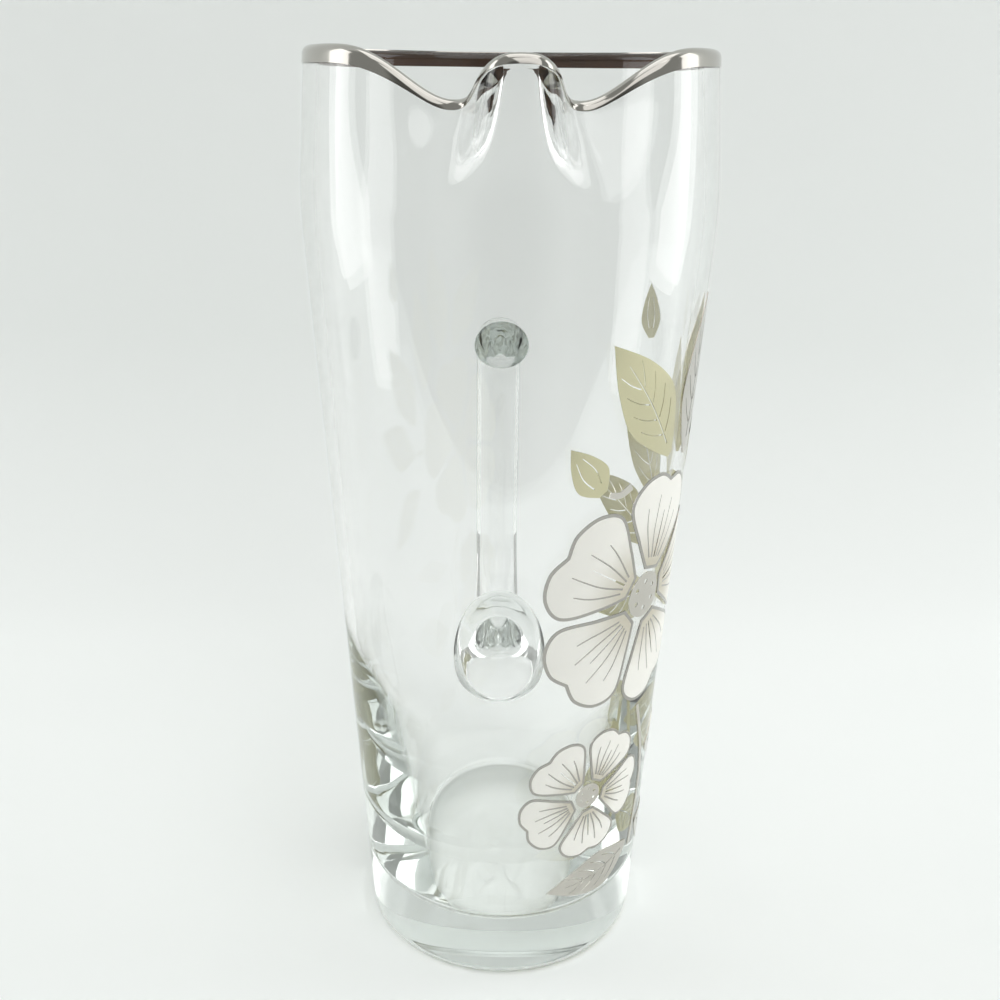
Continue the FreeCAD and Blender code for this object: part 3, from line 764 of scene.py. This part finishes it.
def lay_bud(materials, name, across, up, turn, length_share):
    """Closed bud with its seams cut through the silver."""
    place = (across, up)
    length = BUD_LENGTH_SHARE * SPRAY_HEIGHT * length_share
    width = BUD_WIDTH_SHARE * length

    def on_wall(points):
        return [placed(place, turn, *point) for point in points]

    bud = flat_face(f"{name}_silver", on_wall(blade(length, width, BUD_SHARES)), *materials)
    thicken(bud, -SILVER_BOND, SILVER_GAUGE)
    seams = []
    for hand in (-1, 1):
        spread = hand * BUD_SEAM_SPREAD_SHARE * width
        seam = [(spread * across_share, share * length) for share, across_share in BUD_SEAM_SHARES]
        seams.append(on_wall(strip(seam, SIDE_VEIN_WIDTH, SIDE_VEIN_WIDTH / 2)))
    engrave(bud, seams)
    finish_patch(bud, name, "polished_silver")


def lay_stem(materials, name, *places):
    """Stem through three places, narrower at its thin end."""
    line = [placed(place, 0, 0, 0) for place in places]
    outline = strip(line, STEM_WIDTH, STEM_WIDTH * STEM_TAPER_SHARE)
    stem = flat_face(f"{name}_silver", outline, *materials)
    thicken(stem, -SILVER_BOND, SILVER_GAUGE)
    finish_patch(stem, name, "polished_silver")


def lay_heart(materials, name, place, radius):
    """Round heart of a blossom with a ring of dots cut through the silver."""
    outline = [placed(place, 360 * index / HEART_SIDES, 0, radius) for index in range(HEART_SIDES)]
    disc = flat_face(f"{name}_silver", outline, *materials)
    thicken(disc, -SILVER_BOND, SILVER_GAUGE)
    dots = []
    for index in range(HEART_DOTS):
        turn = 360 * index / HEART_DOTS
        middle = radius * HEART_DOT_PLACE_SHARE
        reach = radius * HEART_DOT_SHARE
        dots.append([
            placed(place, turn, reach * math.cos(at), middle + reach * math.sin(at))
            for at in steps(0, 2 * math.pi, DOT_SIDES)[1:]
        ])
    engrave(disc, dots)
    finish_patch(disc, name, "polished_silver")


def flat_petal(materials, start, length, width, edge):
    """Notched frosted petal, upright over the blossom's middle: edge, engraved rib and fine lines."""

    def on_blossom(points):
        return [(side, start + along) for side, along in points]

    shares = list(PETAL_SHARES) + [(PETAL_NOTCH_SHARE, 0)]
    petal = flat_face("flat_petal", on_blossom(blade(length, width, shares)), *materials)
    edit_all(petal)
    bpy.ops.mesh.inset(thickness=edge)
    bpy.ops.object.mode_set(mode="OBJECT")
    max(petal.data.polygons, key=lambda polygon: polygon.area).material_index = 1
    thicken(petal, -SILVER_BOND, SILVER_GAUGE)
    begin, end = PETAL_RIB_SHARES
    rib = strip([(0, begin * length), (0, (begin + end) / 2 * length), (0, end * length)],
                MIDRIB_WIDTH, MIDRIB_WIDTH / 3)
    engrave(petal, [on_blossom(rib)])
    lines = []
    for spread, end in PETAL_LINES:
        half = spread * width / 2
        points = [(across * half, along * length) for across, along in PETAL_LINE_SHARES]
        points.append((half, end * length))
        outline = on_blossom(strip(points, PETAL_LINE_WIDTH, PETAL_LINE_WIDTH / 2))
        line = flat_face("petal_line", outline, materials[0])
        thicken(line, SILVER_GAUGE / 2, SILVER_GAUGE + PETAL_LINE_RISE)
        lines.append(line)
    activate(petal)
    for line in lines:
        line.select_set(True)
    bpy.ops.object.join()
    return petal


def lay_blossom(silvers, name, across, up, size_share, turn):
    """Open blossom: round heart and a ring of petals, one made flat and copied round."""
    polished, outline, satin, underside = silvers
    place = (across, up)
    heart = HEART_RADIUS_SHARE * SPRAY_HEIGHT * size_share
    lay_heart([polished, underside], f"{name}_heart", place, heart)
    start = heart + ENGRAVED_GAP
    length = PETAL_LENGTH_SHARE * SPRAY_HEIGHT * size_share
    widest = max(PETAL_SHARES, key=lambda share: share[1])[0]
    width = 2 * PETAL_FILL_SHARE * math.tan(math.pi / PETALS) * (start + widest * length)
    edge = PETAL_EDGE * math.sqrt(size_share)
    first = flat_petal([outline, satin, underside], start, length, width, edge)
    side, height = placed(place, 0, 0, 0)
    for index in range(PETALS):
        activate(first)
        bpy.ops.object.duplicate()
        petal = bpy.context.object
        petal.name = f"{name}_petal_{index + 1}_silver"
        edit_all(petal)
        lean = math.radians(turn + 360 * index / PETALS)
        bpy.ops.transform.rotate(value=lean, orient_axis="Z", center_override=(0, 0, 0))
        bpy.ops.transform.translate(value=(side, height, 0))
        bpy.ops.object.mode_set(mode="OBJECT")
        finish_patch(petal, f"{name}_petal_{index + 1}", "satin_silver")
    bpy.data.objects.remove(first)


def sweep():
    """Pale paper sweep: floor that curves up behind the pitcher."""
    deselect()
    # The paper ends a little way in front, so that the glass mirrors the duller room there
    middle = (PAPER_FRONT + PAPER_BEND_PLACE) / 2
    bpy.ops.mesh.primitive_plane_add(size=1, location=(0, middle, -FLOOR_GAP))
    paper = bpy.context.object
    paper.name = "paper_sweep"
    paper.scale = (PAPER_WIDTH, PAPER_BEND_PLACE - PAPER_FRONT, 1)
    bpy.ops.object.transform_apply(location=True, scale=True)
    far = [vertex.index for vertex in paper.data.vertices if vertex.co.y > middle]
    select_vertices(paper.data, far)
    turns = steps(0, math.pi / 2, PAPER_BEND_ROWS)
    for before, after in zip(turns, turns[1:]):
        back = PAPER_BEND * (math.sin(after) - math.sin(before))
        up = PAPER_BEND * (math.cos(before) - math.cos(after))
        bpy.ops.mesh.extrude_region_move(TRANSFORM_OT_translate={"value": (0, back, up)})
    bpy.ops.mesh.extrude_region_move(TRANSFORM_OT_translate={"value": (0, 0, PAPER_RISE)})
    bpy.ops.object.mode_set(mode="OBJECT")
    bpy.ops.object.shade_smooth()
    # Matt drawing paper: even, pale and without gloss
    material, tree, output = new_material("pale_paper")
    matt = add(tree, "ShaderNodeBsdfDiffuse", {"Color": linear("#f5f7f6"), "Roughness": 0.5})
    # From behind, the upright part is looked through, so that it hides the pitcher from no side
    behind = add(tree, "ShaderNodeNewGeometry").outputs["Backfacing"]
    clear = add(tree, "ShaderNodeBsdfTransparent")
    sided = add(tree, "ShaderNodeMixShader", {
        0: behind, 1: matt.outputs["BSDF"], 2: clear.outputs["BSDF"]})
    tree.links.new(sided.outputs["Shader"], output.inputs["Surface"])
    paper.data.materials.append(material)


def lamp(name, place, target, width, height, power):
    """Soft rectangular studio lamp aimed at a point."""
    light = bpy.data.lights.new(name, "AREA")
    light.shape = "RECTANGLE"
    light.size = width
    light.size_y = height
    light.energy = power
    holder = bpy.data.objects.new(name, light)
    bpy.context.collection.objects.link(holder)
    holder.location = place
    aim = Vector(target) - Vector(place)
    holder.rotation_euler = aim.to_track_quat("-Z", "Y").to_euler()


def studio():
    """Pale room, duller on the viewer's side, with softboxes in front and above and a strip at each side."""
    world = bpy.data.worlds.new("soft_room")
    bpy.context.scene.world = world
    world.use_nodes = True
    tree = world.node_tree
    tree.nodes.clear()
    output = add(tree, "ShaderNodeOutputWorld")
    way = add(tree, "ShaderNodeTexCoord").outputs["Generated"]
    parts = add(tree, "ShaderNodeSeparateXYZ", {"Vector": way})
    room = add(tree, "ShaderNodeMapRange", {
        "Value": parts.outputs["Y"],
        "From Min": ROOM_PALE_FROM, "From Max": ROOM_PALE_TO}, interpolation_type="SMOOTHSTEP")
    viewer = add(tree, "ShaderNodeMapRange", {
        "Value": parts.outputs["Y"],
        "From Min": VIEWER_FROM, "From Max": VIEWER_TO}, interpolation_type="SMOOTHSTEP")
    front = add(tree, "ShaderNodeMix", {"Factor": viewer.outputs["Result"]}, data_type="RGBA")
    front.inputs["A"].default_value = linear("#6c6d6a")
    front.inputs["B"].default_value = linear("#b2b4b1")
    colour = add(tree, "ShaderNodeMix", {"Factor": room.outputs["Result"]}, data_type="RGBA")
    tree.links.new(front.outputs["Result"], colour.inputs["A"])
    colour.inputs["B"].default_value = linear("#f4f8f6")
    sky = add(tree, "ShaderNodeBackground", {"Color": colour.outputs["Result"], "Strength": ROOM_STRENGTH})
    tree.links.new(sky.outputs["Background"], output.inputs["Surface"])
    for row in LAMPS:
        lamp(*row)


def camera():
    """Camera at the photograph's viewpoint, just above the rim and pitched down."""
    data = bpy.data.cameras.new("camera")
    data.lens = CAMERA_LENS
    data.sensor_width = CAMERA_SENSOR
    view = bpy.data.objects.new("camera", data)
    bpy.context.collection.objects.link(view)
    turn = Matrix.Rotation(math.radians(CAMERA_TURN), 4, "Z")
    tilt = Matrix.Rotation(math.radians(CAMERA_TILT), 4, "X")
    roll = Matrix.Rotation(math.radians(CAMERA_ROLL), 4, "Z")
    view.matrix_world = Matrix.Translation(CAMERA_PLACE) @ turn @ tilt @ roll
    bpy.context.scene.camera = view


def build():
    """Whole picture: materials, glass, silver, paper, lamps and camera."""
    glass = blown_glass()
    # Silver deposit, buffed: mirrors the room softly, a little cloudy from handling
    polished = silver("polished_silver_deposit", "#c9c5be", 0.16, 1.0, 0.4, 0.05)
    # Silver deposit under old lacquer: the same soft mirror, yellowed to champagne
    lacquered = silver("lacquered_silver_deposit", "#c9c4a5", 0.2, 1.0, 0.4, 0.06)
    # Silver deposit, chased and toned: a greyer line round and along the petals
    outline = silver("shaded_outline_silver", "#aaa7a2", 0.2, 1.0, 0.4, 0.05)
    # Silver deposit, frosted to a matt white: no mirror, with a painted warm-grey shade towards each
    # blossom's heart
    satin = silver("frosted_white_silver_painted_shade", "#fcfaf4", 0.6, 0.0, 0.15, 0.03, "#cfc9b8")
    # Bonded side of the deposit, fired on: matt champagne where it is seen through the glass
    underside = silver("silver_seen_through_glass", "#d5cfa6", 0.45, 0.15, 0.6, 0.05)
    # Silver band on the rim, worn by use: a darker, sharper mirror
    worn = silver("worn_rim_silver", "#b6b3ad", 0.1, 1.0, 0.8, 0.08)
    # Bonded side of the band, oxidised: dark brown where it is seen through the glass
    brown = silver("band_seen_through_glass", "#4d3019", 0.35, 0.2, 0.6, 0.1)

    body = blow_body(glass)
    plate_rim(body, worn, brown)
    finish_piece(body, "clear_glass", "glass_body")
    draw_handle(glass)
    for row in BLOSSOMS:
        lay_blossom((polished, outline, satin, underside), *row)
    for row in LEAVES:
        lay_leaf([lacquered if row[0] in LACQUERED else polished, underside], *row)
    for row in BUDS:
        lay_bud([lacquered if row[0] in LACQUERED else polished, underside], *row)
    for row in STEMS:
        lay_stem([polished, underside], *row)
    sweep()
    studio()
    camera()
    scene = bpy.context.scene
    scene.view_settings.view_transform = "Standard"
    scene.cycles.max_bounces = LIGHT_BOUNCES
    scene.cycles.transmission_bounces = LIGHT_BOUNCES
    scene.cycles.glossy_bounces = LIGHT_BOUNCES
    # Light that has met the paper passes the glass unblurred, so the shadow is as pale as glass throws
    scene.cycles.blur_glossy = 0


build()
